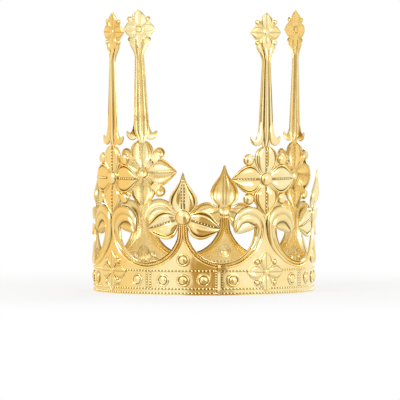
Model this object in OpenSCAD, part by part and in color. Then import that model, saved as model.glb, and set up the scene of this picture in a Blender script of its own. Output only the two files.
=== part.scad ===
// Gilt card crown: one strip of foil-faced card, die-cut and embossed in a single blow,
// then bent into a hoop and lapped on itself beside the front fleuron.
// A place on the flat strip is [u, v, w]: u along the hoop from the middle of the front fleuron,
// v up from the rim, and w out of the card. Bending the strip turns u into an angle.
// Motifs that touch share the points of their common edge, so that the card is one sheet.

/* [Hoop] */
// Radius of the hoop, to the back of the card
hoop_r = 95; // [88:1:105]
// Thickness of the card
card_t = 0.5; // [0.4:0.05:0.7]
// Number of spears, with one fleuron between each two
spears = 4; // [3:1:4]
// Turn from the middle of the front fleuron to the outer end of the lap, in degrees
seam_turn = 19.6; // [17:0.1:21]
// Length of the lap
lap_l = 7; // [4:0.5:10]
// Length over which the outer end of the strip climbs onto the lap
lap_ramp = 3; // [2:0.5:5]

/* [Band] */
// Height of the lowest point of the arches between the units
arch_sill = 28; // [26:0.5:31]
// Width of the embossed rim round each arch
arch_rim = 8; // [6:0.5:9]
// Height of the milled bead under the arches
sill_bead = 19.5; // [18.5:0.1:20]
// Radius of the studs along the band
stud_r = 5.2; // [4:0.1:6]
// Height of the studs along the band above the rim
stud_v = 12.9; // [11:0.1:14]
// Spacing of the studs under a fleuron
stud_pitch = 18; // [14:0.5:20]
// Distance of the outer studs under a spear from its middle
spear_stud_u = 31; // [28:0.5:33]

/* [Spear] */
// Width of the stem between two arches
spear_stem = 23; // [20:0.5:26]
// Radius of the scrolled leaves
leaf_r = 14.5; // [13:0.1:16]
// Distance of the middle of a leaf from the middle of the spear
leaf_u = 15.5; // [14:0.1:17]
// Height of the middle of the flower
flower_v = 97.4; // [92:0.2:102]
// Length of a petal of the flower, from its middle
flower_l = 30.6; // [27:0.2:33]
// Width of a petal of the flower
flower_w = 21.5; // [18:0.1:24]
// Distance of the beads from the middle of the flower, each way
bead_place = 16.4; // [15:0.1:18]
// Radius of the beads of the flower
bead_r = 5; // [4:0.1:5.5]
// Radius of the boss of the flower
flower_boss_r = 6; // [5:0.1:7]
// Height of the lowest point of the collar above the middle of the flower
collar_rise = 29.8; // [28:0.1:31]
// Width of the collar over its two flukes
collar_w = 30; // [26:0.2:34]
// Width of the shaft at its foot
shaft_foot_w = 16; // [13:0.2:18]
// Width of the shaft at its neck
shaft_neck_w = 8.4; // [7:0.1:10]
// Height of the neck of the shaft
neck_v = 202; // [190:0.5:206]
// Height of the middle of the finial above the neck
finial_rise = 24.4; // [22:0.2:27]
// Length of a petal of the finial
finial_l = 16.8; // [15:0.1:18]
// Width of a petal of the finial
finial_w = 11.5; // [9:0.1:13]

/* [Fleuron] */
// Width of the stem between two arches
fleuron_stem = 8.4; // [7:0.1:10]
// Height of the boss
boss_v = 65.3; // [63:0.1:68]
// Radius of the boss
boss_r = 6.6; // [5.5:0.1:7.5]
// Length of the upright petal, from the boss
crest_l = 40.5; // [36:0.2:44]
// Width of the upright petal
crest_w = 25.4; // [22:0.2:28]
// Length of the side petals, from the boss
wing_l = 33; // [30:0.2:34]
// Width of the side petals
wing_w = 21; // [18:0.2:23]
// Droop of the side petals below the level, in degrees
wing_droop = 14; // [8:0.5:18]
// Height of the stud on the stem above the rim
spandrel_v = 30.5; // [29:0.2:32]

/* [Embossing] */
// Height of the petals
petal_h = 2.6; // [1.5:0.1:3.2]
// Height of the bosses
boss_h = 4; // [2.5:0.1:5]
// Height of the beads of the flower
bead_h = 3.4; // [2:0.1:4]
// Height of the leaves and of the rims of the arches
leaf_h = 2.4; // [1.5:0.1:3]
// Height of the rib of the shaft
rib_h = 2.2; // [1.2:0.1:3]
// Height of the studs
stud_h = 2; // [1.2:0.1:2.6]
// Height of the small flowers
bloom_h = 1.6; // [1:0.1:2.2]

/* [Wear] */
// Outward lean of each unit in turn, from the front fleuron towards the right, in degrees
leans = [0, 0.3, 6, 0.6, 0, 2.6, -4, 0]; // [-6:0.1:7]

/* [Hidden] */

units = 2 * spears;
pitch = 2 * PI * hoop_r / units;
arch_r = (pitch - (spear_stem + fleuron_stem) / 2) / 2;
arch_u = spear_stem / 2 + arch_r;
arch_v = arch_sill + arch_r;
leaf_v = arch_v + 0.24 * leaf_r;
leaf_tip = [leaf_u + 0.86 * leaf_r, arch_v - 0.3 * leaf_r];
collar_v = flower_v + collar_rise;
finial_v = neck_v + finial_rise;
bloom_beads = 0.56 * finial_l;
finial_boss_r = finial_w / 3;
seam_u = seam_turn * hoop_r * PI / 180;
lap_top = arch_sill - arch_rim + 1;
lean_v = boss_v - 0.75 * boss_r;

// Half angle of each motif that springs from the boss of a fleuron
root_turn = 38;
// Shape of the petals: how drawn out the point is, the half width of the tip, the share of the length
// at which neighbours part, and the share at which each kind is fullest
petal_point = 1.18;
petal_tip = 0.4;
crotch = 0.28;
flower_belly = 0.5;
crest_belly = 0.375;
bloom_belly = 0.56;
// Rows round an arch and over a leaf
arch_rows = 8;
leaf_rows = 5;
// Level of the edges of raised work, inside the thickness of the card
let_in = 0.6 * card_t;
// Finest step of a place on the card, in degrees and in millimetres
grain = 0.000001;

// Sections across the motifs, each a list of [share of the width, share of the height]
lobed = [[-1, 0], [-0.6, 1], [0, 0.4], [0.6, 1], [1, 0]];
keeled = [[-1, 0], [0, 1], [1, 0]];
ribbed = [[-1, 0], [-0.36, 0.15], [0, 1], [0.36, 0.15], [1, 0]];
scrolled = [[0, 0], [0.24, 1], [0.5, 0.4], [0.76, 0.9], [1, 0]];
crescent = [[0, 0], [0.5, 1], [1, 0]];
petal_stations = [crotch, 0.54, 0.8, 1];
crest_stations = [0.2, 0.38, 0.62, 0.82, 1];
bloom_stations = [crotch, 0.58, 1];

function snapped(x) = round(x / grain) * grain;

// A place on the strip once it is bent: a unit leans outwards above its boss
function bent(p, lean) =
  let (turn = p.x / hoop_r * 180 / PI)
  let (a = snapped(turn - 360 * floor(turn / 360 + grain)))
  let (r = snapped(hoop_r + p.z + max(0, p.y - lean_v) * tan(lean)))
  [r * sin(a), -r * cos(a), snapped(p.y)];

// Twice the signed area of a flat outline, above zero when it runs anticlockwise
function winding(outline) =
  let (n = len(outline))
  [for (i = [0 : n - 1]) let (p = outline[i], q = outline[(i + 1) % n]) p.x * q.y - q.x * p.y]
  * [for (i = [0 : n - 1]) 1];

function backwards(list) = [for (i = [len(list) - 1 : -1 : 0]) list[i]];
function span(n) = [for (i = [0 : n - 1]) i];
function lift(p, w) = [p.x, p.y, w];

// One order for the two ends of an edge, so that pieces that share the edge split it alike
function before(p, q) = abs(p.x - q.x) > grain ? p.x < q.x : p.y < q.y;

// Numbers of the points round the edge of a grid
function border(rows, cols) =
  concat(
    span(cols),
    [for (i = [1 : rows - 1]) i * cols + cols - 1],
    [for (j = [cols - 2 : -1 : 0]) (rows - 1) * cols + j],
    [for (i = [rows - 2 : -1 : 1]) i * cols]
  );

// Triangles of a grid
function cells(rows, cols) =
  [for (i = [0 : rows - 2]) for (j = [0 : cols - 2])
    let (a = i * cols + j)
    each [[a, a + cols, a + cols + 1], [a, a + cols + 1, a + 1]]];

// A grid turned so that its edge runs anticlockwise on the face
function faced(rows) =
  let (points = [for (row = rows) each row])
  let (edge = [for (i = border(len(rows), len(rows[0]))) points[i]])
  winding(edge) > 0 ? rows : [for (row = rows) backwards(row)];

// Solid between a skin of points and a lining of as many, with walls along a loop
module between(skin, lining, triangles, loop, flat) {
  n = len(skin);
  m = len(loop);
  polyhedron(
    points = concat(skin, lining),
    faces = concat(
      triangles,
      [for (c = triangles) [n + c[2], n + c[1], n + c[0]]],
      [for (i = [0 : m - 1])
        let (p = loop[i], q = loop[(i + 1) % m])
        each before(flat[p], flat[q])
          ? [[p, q, n + q], [p, n + q, n + p]]
          : [[p, q, n + p], [q, n + q, n + p]]]
    )
  );
}

// Card pressed to the shape of a set of points
module card(points, triangles, loop, lean) {
  between(
    [for (p = points) bent([p.x, p.y, p.z + card_t], lean)],
    [for (p = points) bent(p, lean)],
    triangles, loop, points
  );
}

module card_grid(rows, lean) {
  grid = faced(rows);
  size = [len(grid), len(grid[0])];
  card([for (row = grid) each row], cells(size.x, size.y), border(size.x, size.y), lean);
}

// Flat piece of card with an anticlockwise outline
module card_facet(outline, lean) {
  m = len(outline);
  card(outline, [for (i = [1 : m - 2]) [0, i + 1, i]], span(m), lean);
}

// Round pressed up from an anticlockwise edge to a shoulder and closed by a blunt cone
module card_dome(edge, centre, h, lean) {
  m = len(edge);
  shoulder = [for (p = edge) lift(centre + 0.74 * ([p.x, p.y] - centre), 0.7 * h)];
  card(
    concat(edge, shoulder, [lift(centre, h)]),
    [for (j = [0 : m - 1])
      let (k = (j + 1) % m)
      each [[j, m + j, m + k], [j, m + k, k], [m + j, 2 * m, m + k]]],
    span(m), lean
  );
}

module card_cone(edge, centre, h, lean) {
  m = len(edge);
  card(concat(edge, [lift(centre, h)]), [for (j = [0 : m - 1]) [j, m, (j + 1) % m]], span(m), lean);
}

// Work raised on the face of the card and let into it to half its thickness
module raised(points, triangles, loop, lean) {
  between(
    [for (p = points) bent(p, lean)],
    [for (p = points) bent([p.x, p.y, card_t / 2], lean)],
    triangles, loop, points
  );
}

// Upright to the card at a place on it
module standing(place, lean) {
  translate(bent([place.x, place.y, 0], lean))
    rotate([0, 0, place.x / hoop_r * 180 / PI])
      rotate([90, 0, 0])
        children();
}

module stud(place, r, h, lean) {
  standing(place, lean)
    hull() {
      translate([0, 0, 0.2 * card_t])
        cylinder(r = r, h = 0.8 * card_t, $fn = 8);
      translate([0, 0, card_t + 0.7 * h])
        cylinder(r1 = 0.7 * r, r2 = 0, h = 0.3 * h, $fn = 8);
    }
}

module pip(place, r, h, lean) {
  standing(place, lean)
    translate([0, 0, 0.2 * card_t])
      cylinder(r1 = r, r2 = 0.2 * r, h = h, $fn = 6);
}

// A petal is [foot, direction, length, half width, belly, root]: up to the crotch its sides follow
// the root slope, and beyond it they swell to the belly and are drawn out to a point
function petal_half(petal, s) =
  s <= crotch
    ? petal[5] * s * petal[2]
    : petal_tip + petal[3] * pow(max(0, sin(180 * pow(s, ln(0.5) / ln(petal[4])))), petal_point);

// A place on a petal: a share s of its length along it, and a share c of its half width across it
function on_petal(petal, s, c) =
  let (along = [cos(petal[1]), sin(petal[1])])
  petal[0] + along * s * petal[2] + [-along.y, along.x] * c * petal_half(petal, s);

// The foot of a petal on the edge of its boss
function petal_foot(petal, r, turn, section) =
  [for (c = section)
    let (a = petal[1] + turn * c.x)
    lift(petal[0] + r * [cos(a), sin(a)], 0)];

// Sections of a petal at a list of stations
function petal_rows(petal, stations, section, h) =
  [for (s = stations)
    let (swell = pow(min(1, petal_half(petal, s) / petal[3]), 0.6))
    [for (c = section) lift(on_petal(petal, s, c.x), c.y * swell * h)]];

// The four petals of a flower meet on its diagonals up to the crotch
function flower_petals(centre, length, width, belly) =
  [for (turn = [0 : 90 : 270]) [centre, turn, length, width / 2 - petal_tip, belly, 1]];

// The edge of the bead between petals i and i + 1, with one side towards the middle of the flower
corners = [[1, 1], [-1, 1], [-1, -1], [1, -1]];
function bead_edge(bead, r, sides, i) =
  [for (k = [0 : sides - 1])
    let (a = 225 + 90 * i + (k - 0.5) * 360 / sides)
    lift(bead + r * [cos(a), sin(a)], 0)];

// Flat web between two petals and a bead
module flower_web(petals, i, station, bead, lean) {
  left = petals[(i + 1) % 4];
  card_facet([
    lift(on_petal(petals[i], crotch, 1), 0),
    lift(on_petal(petals[i], station, 1), 0),
    bead[1],
    bead[0],
    lift(on_petal(left, station, -1), 0)
  ], lean);
}

// The boss of a flower takes in the feet of its petals
function flower_boss(petals, r, sections) =
  [for (i = [0 : 3])
    let (foot = petal_foot(petals[i], r, 45, sections[i]))
    each [for (j = [0 : len(foot) - 2]) foot[j]]];

// Edges of a scroll, from its spear's middle: from the boss of the fleuron down its stem,
// round the arch, up the stem of the spear, over the leaf and down to its tip
function arch_turn(i) = 347 - 167 * (i - 1) / (arch_rows - 1);
function arch_outer(i) =
  let (a = arch_turn(i))
  let (r = arch_r + arch_rim * min(1, 0.5 + 0.125 * i))
  i == 0 ? [pitch, boss_v - boss_r]
  : i == 1 ? [pitch, arch_v + r * sin(a)]
  : [arch_u, arch_v] + r * [cos(a), sin(a)];
function arch_inner(i) = [arch_u, arch_v] + arch_r * [cos(arch_turn(i)), sin(arch_turn(i))];
function leaf_outer(i) =
  let (a = 172 - 190 * i / leaf_rows)
  [leaf_u, leaf_v] + leaf_r * [cos(a), sin(a)];
function leaf_inner(i) =
  let (t = i / leaf_rows)
  [arch_u - arch_r + (leaf_tip.x - arch_u + arch_r) * t, arch_v + 1.5 - 0.4 * leaf_r * sin(90 * t)];

function at_side(p, middle, side) = [middle + side * p.x, p.y, p.z];
function all_at_side(points, middle, side) = [for (p = points) at_side(p, middle, side)];

// A section from one edge of a strip to the other
function across(a, b, section, h) =
  [for (c = section) lift(a * (1 - c.x) + b * c.x, c.y * h)];

function scroll_rows() =
  concat(
    [[for (c = scrolled)
      let (a = root_turn * c.x)
      [pitch - boss_r * sin(a), boss_v - boss_r * cos(a), 0]]],
    [for (i = [1 : arch_rows]) across(arch_outer(i), arch_inner(i), scrolled, leaf_h)],
    [for (i = [0 : leaf_rows]) across(leaf_outer(i), leaf_inner(i), scrolled, leaf_h)]
  );

// The plain band under a scroll
function rim_u(i) = pitch * (arch_rows - i) / (arch_rows - 1);
function band_rows() =
  [for (i = [1 : arch_rows]) [lift(arch_outer(i), 0), [rim_u(i), 0, 0]]];

// Shaft from the tip of a petal of the flower, through the collar and the neck, to its flare:
// each stop is [height, half width, share of the rib]
collar_stops = [[1.2, 5.2, 0.7], [3.6, 6.4, 0.9], [6, 7.6, 1]];
function shaft_stops() =
  concat(
    [[collar_v - 1.6, 0.55 * shaft_foot_w / 2, 0.25]],
    [for (stop = collar_stops) [collar_v + stop.x, stop.y / 8 * shaft_foot_w / 2, stop.z]],
    [[collar_v + 9, shaft_foot_w / 2, 1],
      [neck_v, shaft_neck_w / 2, 1],
      [finial_v - 0.8 * finial_l, 0.85 * finial_w, 0.4]]
  );
function shaft_rows(middle) =
  [for (stop = shaft_stops())
    [for (c = ribbed) [middle - c.x * stop.y, stop.x, c.y * stop.z * rib_h]]];

// A fluke of the collar grows from the side of the shaft and turns up in a crescent
fluke_turns = [262, 296, 328, 356];
fluke_half = [2.4, 2, 1.3, 0.4];
fluke_r = 5.2;
function fluke_rows() =
  let (stops = shaft_stops())
  let (centre = [collar_w / 2 - fluke_r, collar_v + 7.8])
  concat(
    [[for (i = [1 : 3]) [stops[i].y, stops[i].x, 0]]],
    [for (i = [0 : 3])
      let (a = fluke_turns[i])
      let (way = [cos(a), sin(a)])
      across(centre + (fluke_r + fluke_half[i]) * way, centre + (fluke_r - fluke_half[i]) * way,
        crescent, rib_h * (0.9 - 0.2 * i))]
  );

module spear_card(middle, lean) {
  for (side = [-1, 1])
    for (rows = [scroll_rows(), band_rows(), fluke_rows()])
      card_grid([for (row = rows) all_at_side(row, middle, side)], lean);
  spear_flower(middle, lean);
  finial(middle, lean);
}

module spear_relief(middle, lean) {
  for (side = [-1, 1])
    stud([middle + side * spear_stud_u, stud_v], stud_r, stud_h, lean);
  bloom(middle, sill_bead, lean);
}

// The flower runs down between the leaves into the stem, and up into the shaft
module spear_flower(middle, lean) {
  centre = [middle, flower_v];
  petals = flower_petals(centre, flower_l, flower_w, flower_belly);
  stem = [leaf_outer(1), leaf_outer(0), arch_outer(arch_rows)];
  stem_rise = [0.6, 0.1, 0];
  for (i = [0, 2])
    card_grid(concat(
      [petal_foot(petals[i], flower_boss_r, 45, lobed)],
      petal_rows(petals[i], petal_stations, lobed, petal_h)
    ), lean);
  card_grid(concat(
    [petal_foot(petals[3], flower_boss_r, 45, lobed)],
    petal_rows(petals[3], [petal_stations[0], petal_stations[1]], lobed, petal_h),
    [for (i = [0 : 2])
      [for (c = lobed) [middle + c.x * stem[i].x, stem[i].y, c.y * stem_rise[i] * petal_h]]]
  ), lean);
  card_facet(concat(
    [[middle, 0, 0]],
    [for (c = backwards(lobed)) [middle + c.x * stem[2].x, stem[2].y, 0]]
  ), lean);
  for (i = [0 : 3]) {
    bead = centre + bead_place * corners[i];
    edge = bead_edge(bead, bead_r, 8, i);
    flower_web(petals, i, petal_stations[1], edge, lean);
    card_dome(edge, bead, bead_h, lean);
  }
  card_dome(flower_boss(petals, flower_boss_r, [lobed, lobed, lobed, lobed]), centre, boss_h, lean);
}

// Shaft and finial, from the top petal of the flower
module finial(middle, lean) {
  centre = [middle, finial_v];
  top = flower_petals([middle, flower_v], flower_l, flower_w, flower_belly)[1];
  petals = flower_petals(centre, finial_l, finial_w, bloom_belly);
  card_grid(concat(
    [petal_foot(top, flower_boss_r, 45, lobed)],
    petal_rows(top, [for (i = [0 : 2]) petal_stations[i]], lobed, petal_h),
    shaft_rows(middle),
    [for (row = petal_rows(petals[3], [bloom_stations[1], crotch], ribbed, bloom_h))
      backwards(row)],
    [backwards(petal_foot(petals[3], finial_boss_r, 45, ribbed))]
  ), lean);
  for (i = [0 : 2])
    card_grid(concat(
      [petal_foot(petals[i], finial_boss_r, 45, keeled)],
      petal_rows(petals[i], bloom_stations, keeled, bloom_h)
    ), lean);
  for (i = [0 : 3]) {
    bead = centre + bloom_beads * corners[i];
    edge = bead_edge(bead, bead_r / 2, 6, i);
    flower_web(petals, i, bloom_stations[1], edge, lean);
    card_cone(edge, bead, bloom_h, lean);
  }
  card_cone(flower_boss(petals, finial_boss_r, [keeled, keeled, keeled, ribbed]), centre, bloom_h + 0.6, lean);
}

// Small flower raised on the band, with pips between its petals. Each petal has a crotch, a belly,
// a tip and a belly on the edge of the flower, and a keel that runs up to the middle.
module bloom(middle, v, lean) {
  petals = flower_petals([middle, v], finial_l, finial_w, bloom_belly);
  full = bloom_stations[1];
  edge = [for (petal = petals) each [
    on_petal(petal, crotch, -1), on_petal(petal, full, -1), on_petal(petal, 1, 0), on_petal(petal, full, 1)
  ]];
  n = len(edge);
  raised(
    concat(
      [for (p = edge) lift(p, let_in)],
      [for (petal = petals) lift(on_petal(petal, full, 0), card_t + bloom_h)],
      [[middle, v, card_t + bloom_h + 0.6]]
    ),
    [for (i = [0 : 3])
      let (a = 4 * i, next = (a + 4) % n, keel = n + i, top = n + 4)
      each [
        [a, keel, a + 1], [a + 1, keel, a + 2], [a + 2, keel, a + 3],
        [a + 3, keel, next], [a, top, keel], [keel, top, next]
      ]],
    span(n), lean
  );
  for (corner = corners)
    pip([middle, v] + bloom_beads * corner, bead_r / 2, bloom_h + card_t, lean);
}

// The outer end of the strip climbs onto the inner end and lies on it
module lap() {
  stops = [
    [seam_u - lap_l - lap_ramp, let_in], [seam_u - lap_l, 2 * card_t], [seam_u, 2 * card_t]
  ];
  grid = faced([for (stop = stops) [for (v = [0, lap_top]) [stop.x, v, stop.y]]]);
  raised([for (row = grid) each row], cells(3, 2), border(3, 2), 0);
}

module fleuron_card(middle, lean) {
  centre = [middle, boss_v];
  crest = [centre, 90, crest_l, crest_w / 2 - petal_tip, crest_belly, 0.9];
  right = [centre, -wing_droop, wing_l, wing_w / 2 - petal_tip, flower_belly, 0.9];
  left = [centre, 180 + wing_droop, wing_l, wing_w / 2 - petal_tip, flower_belly, 0.9];
  for (leaf = [[crest, crest_stations], [right, petal_stations], [left, petal_stations]])
    card_grid(concat(
      [petal_foot(leaf[0], boss_r, root_turn, lobed)],
      petal_rows(leaf[0], leaf[1], lobed, petal_h)
    ), lean);
  stem = [for (side = [-1, 1]) [for (c = scrolled)
    let (a = root_turn * c.x)
    [middle + side * boss_r * sin(a), boss_v - boss_r * cos(a), 0]]];
  card_dome(concat(
    backwards(stem[0]),
    [for (j = [1 : 4]) stem[1][j]],
    petal_foot(right, boss_r, root_turn, lobed),
    petal_foot(crest, boss_r, root_turn, lobed),
    petal_foot(left, boss_r, root_turn, lobed)
  ), centre, boss_h, lean);
}

module fleuron_relief(middle, lean) {
  for (i = [-1 : 1])
    stud([middle + i * stud_pitch, stud_v], stud_r, stud_h, lean);
  stud([middle, spandrel_v], stud_r, stud_h, lean);
}

// The pressed sheet, then the small work raised on its face
module crown() {
  color("gold") {
    union()
      for (k = [0 : units - 1])
        if (k % 2 == 1)
          spear_card(k * pitch, leans[k % len(leans)]);
        else
          fleuron_card(k * pitch, leans[k % len(leans)]);
    union() {
      for (k = [0 : units - 1])
        if (k % 2 == 1)
          spear_relief(k * pitch, leans[k % len(leans)]);
        else
          fleuron_relief(k * pitch, leans[k % len(leans)]);
      lap();
    }
  }
}

crown();
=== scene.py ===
import math
import bpy
import numpy as np
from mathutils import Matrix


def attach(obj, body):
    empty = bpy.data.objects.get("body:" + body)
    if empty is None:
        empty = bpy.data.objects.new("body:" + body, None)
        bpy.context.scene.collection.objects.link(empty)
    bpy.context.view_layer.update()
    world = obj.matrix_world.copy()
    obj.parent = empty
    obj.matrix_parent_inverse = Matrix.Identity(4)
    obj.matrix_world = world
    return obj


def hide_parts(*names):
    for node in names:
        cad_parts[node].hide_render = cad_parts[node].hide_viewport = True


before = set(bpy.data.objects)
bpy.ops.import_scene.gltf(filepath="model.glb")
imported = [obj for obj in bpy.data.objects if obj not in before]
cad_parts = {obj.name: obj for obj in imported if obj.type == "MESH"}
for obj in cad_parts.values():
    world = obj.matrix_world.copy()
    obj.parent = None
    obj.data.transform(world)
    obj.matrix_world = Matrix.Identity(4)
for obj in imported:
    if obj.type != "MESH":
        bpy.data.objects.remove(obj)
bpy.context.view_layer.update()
print("crown: frame loaded")

# The strip is laid out flat in millimetres: u along the hoop, v up, w out of the face.
# A quarter has its spear at u = 0 and its fleuron one pitch to the right.
hoop = {
    "radius": 95.0,
    "card": 0.5,
    "spears": 4,
    "backDark": 0.6,  # strength of the painted shade lines on the back
    "sharp": 55.0,  # degrees between faces that stay a sharp edge
    "leanFrom": 60.35,  # units lean above this height
    "leans": (0, 0.3, 6, 0.6, 0, 2.6, -4, 0),  # degrees, from the front fleuron to the right
}
pitch = math.pi * hoop["radius"] / hoop["spears"]
metre = 0.001


def newSheet():
    return {"points": [], "faces": [], "paintedShade": [], "inside": [], "count": 0}


def ease(x, keys, values):
    # smooth steps between keyed values, level at every key
    x = np.asarray(x, float)
    keys = np.asarray(keys, float)
    values = np.asarray(values, float)
    i = np.clip(np.searchsorted(keys, x, side="right") - 1, 0, len(keys) - 2)
    t = np.clip((x - keys[i]) / (keys[i + 1] - keys[i]), 0, 1)
    t = t * t * (3 - 2 * t)
    return values[i] * (1 - t) + values[i + 1] * t


def smoothRows(rows, times):
    # a rounder list of rows through the given ones
    rows = np.asarray(rows, float)
    last = len(rows) - 1
    out = []
    for i in range(last):
        before = rows[max(i - 1, 0)]
        here = rows[i]
        there = rows[i + 1]
        after = rows[min(i + 2, last)]
        for k in range(times):
            t = k / times
            out.append(0.5 * (2 * here + (there - before) * t
                              + (2 * before - 5 * here + 4 * there - after) * t ** 2
                              + (3 * here - before - 3 * there + after) * t ** 3))
    out.append(rows[last])
    return np.array(out)


def smoothCurve(x, stops, times=8):
    # a rounded curve through a few stops
    fine = smoothRows(stops, times)
    return np.interp(x, fine[:, 0], fine[:, 1])


def addPatch(sheet, u, v, w, paintedShade, ring=False):
    # one thickness of card over a grid of places; a ring closes on itself and is capped in the middle
    rows, cols = u.shape
    n = rows * cols
    face = np.stack([u, v, w + hoop["card"]], -1).reshape(-1, 3)
    back = np.stack([u, v, w], -1).reshape(-1, 3)
    index = np.arange(n).reshape(rows, cols)
    here = index if ring else index[:, :-1]
    beside = np.roll(index, -1, axis=1) if ring else index[:, 1:]
    quads = np.stack([here[:-1], beside[:-1], beside[1:], here[1:]], -1).reshape(-1, 4)
    corner = face[quads][:, :, :2]
    one = corner[:, 2] - corner[:, 0]
    other = corner[:, 3] - corner[:, 1]
    turned = (one[:, 0] * other[:, 1] - one[:, 1] * other[:, 0]).sum() < 0
    if ring:
        loop = list(index[0]) + [index[0, 0]]
    else:
        loop = list(index[0]) + list(index[1:, -1]) + list(index[-1, -2::-1]) + list(index[-2::-1, 0])
    walls = [[q, p, p + n, q + n] for p, q in zip(loop[:-1], loop[1:])]
    caps = [list(index[-1])] if ring else []
    faces = quads.tolist() + caps
    faces = faces + [[k + n for k in reversed(f)] for f in faces] + walls
    if turned:
        faces = [f[::-1] for f in faces]
    start = sheet["count"]
    sheet["points"].append(np.concatenate([face, back]))
    sheet["faces"] += [[int(k) + start for k in f] for f in faces]
    # the darkness given for each place is painted shade and dark reflection, weaker on the back
    paintedShade = paintedShade.reshape(-1)
    sheet["paintedShade"].append(np.concatenate([paintedShade, hoop["backDark"] * paintedShade]))
    sheet["inside"].append(np.concatenate([np.zeros(n), np.ones(n)]))
    sheet["count"] += 2 * n


def flatMesh(name, sheet):
    mesh = bpy.data.meshes.new(name)
    points = np.concatenate(sheet["points"]) * metre
    mesh.from_pydata(points.tolist(), [], sheet["faces"])
    # one mark holds the painted shade of each point, the other marks the back of the card
    for key in ("paintedShade", "inside"):
        mark = mesh.attributes.new(key, "FLOAT", "POINT")
        mark.data.foreach_set("value", np.concatenate(sheet[key]).astype(np.float32))
    mesh.shade_smooth()
    return mesh


# Petals: a raised rim, two round lobes and a sunk midrib
petalLook = {
    "height": 2.6,
    "rows": 22,
    "crowding": 1.35,  # the rows are closer at the tip
    "tipHalf": 0.5,  # half width at the very tip
    "rib": 1.6,  # half width of the midrib, which is a track for one row of grains
    "ribMost": 0.26,  # most share of the half width
    "ribAt": (0.0, 0.34, 0.5, 0.82, 1.0),  # shares of the rib, with the rise and the painted shade there
    "ribRise": (0.3, 0.3, 0.32, 0.42, 0.5),
    "ribDark": (0.8, 0.8, 0.65, 0.05, 0.0),
    "lobe": (0.08, 0.25, 0.42, 0.6, 0.78, 0.94),  # shares from the rib to the rim
    "lobeRise": (0.6, 0.78, 0.9, 0.92, 0.82, 0.5),
    "lobeDark": 0.15,  # painted shade beside the rim
    "rim": 2.2,  # width of the raised edge
    "rimMost": 0.36,
    "rimAt": (0.94, 0.72, 0.45, 0.18, 0.0),  # shares of the rim, from the lobe outwards
    "rimRise": (0.08, 0.58, 0.78, 0.6, 0.0),
    "rimDark": (1.0, 0.05, 0.0, 0.05, 0.5),
    "dark": 1.0,  # strength of all the painted shade lines
    "footAt": (0, 0.18, 0.4, 1),  # shares of the length over which a petal rises from its foot
    "footRise": (0.1, 0.1, 1, 1),
    "leastSwell": 0.28,
    "swellPower": 0.6,
}
wingLook = dict(petalLook, rim=2.8, lobeRise=(0.5, 0.64, 0.76, 0.8, 0.64, 0.28),
                rimRise=(-0.04, 0.72, 1.0, 0.78, 0.0))
crestLook = dict(wingLook, rib=2.0, ribRise=(0.5, 0.46, 0.34, 0.32, 0.36),
                 ribDark=(0.0, 0.1, 1.0, 1.0, 0.15), lobeRise=(0.34, 0.56, 0.74, 0.8, 0.64, 0.28))
finialLook = dict(petalLook, height=0.9, rim=1.3, rib=0.8, rows=14, dark=0.5, lobe=(0.2, 0.5, 0.8),
                  lobeRise=(0.7, 1.0, 0.7))


def petalOf(centre, turn, length, width, belly=0.5, point=1.0, root=1.0, start=0.16):
    # the belly is the share of the length where it is widest; a higher point draws out the tip
    return {"centre": centre, "turn": math.radians(turn), "length": length,
            "half": width / 2 - petalLook["tipHalf"], "power": math.log(0.5) / math.log(belly),
            "point": point, "root": root, "from": start,
            "right": 1.0, "left": 1.0}  # both sides of the midrib may differ in width


def petalHalf(petal, s):
    if "outline" in petal:
        return smoothCurve(s, petal["outline"])
    arc = np.maximum(0, np.sin(np.pi * s ** petal["power"]))
    full = petalLook["tipHalf"] + petal["half"] * arc ** petal["point"]
    return np.minimum(petal["root"] * s * petal["length"], full)


def petalPlace(petal, s, x):
    along = (math.cos(petal["turn"]), math.sin(petal["turn"]))
    x = np.where(x < 0, petal["right"], petal["left"]) * x
    u = petal["centre"][0] + along[0] * s * petal["length"] - along[1] * x
    v = petal["centre"][1] + along[1] * s * petal["length"] + along[0] * x
    return u, v


def petalSwell(petal, s):
    foot = ease(s, petalLook["footAt"], petalLook["footRise"])
    full = np.minimum(1, petalHalf(petal, s) / petal["half"]) ** petalLook["swellPower"]
    return np.maximum(petalLook["leastSwell"], full) * foot


def bothSides(values, sign=1):
    # from one edge over the middle to the other edge
    values = np.asarray(values, float)
    return np.concatenate([sign * values[:0:-1], values])


def addPetal(sheet, petal, look):
    k = np.linspace(0, 1, look["rows"])
    s = petal["from"] + (1 - petal["from"]) * (1 - (1 - k) ** look["crowding"])
    half = petalHalf(petal, s)
    rim = np.minimum(look["rim"] / half, look["rimMost"])
    rib = np.minimum(look["rib"] / half, look["ribMost"])
    shares = [rib * x for x in look["ribAt"]]
    shares += [rib + (1 - rim - rib) * x for x in look["lobe"]]
    shares += [1 - rim * x for x in look["rimAt"]]
    rises = bothSides(look["ribRise"] + look["lobeRise"] + look["rimRise"])
    lobeDark = [0.0] * (len(look["lobe"]) - 1) + [look["lobeDark"]]
    dark = bothSides([*look["ribDark"], *lobeDark, *look["rimDark"]]) * look["dark"]
    u, v = petalPlace(petal, s[:, None], bothSides(shares, -1).T * half[:, None])
    w = rises[None, :] * petalSwell(petal, s)[:, None] * look["height"]
    addPatch(sheet, u, v, w, np.repeat(dark[None, :], len(s), 0))
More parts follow.
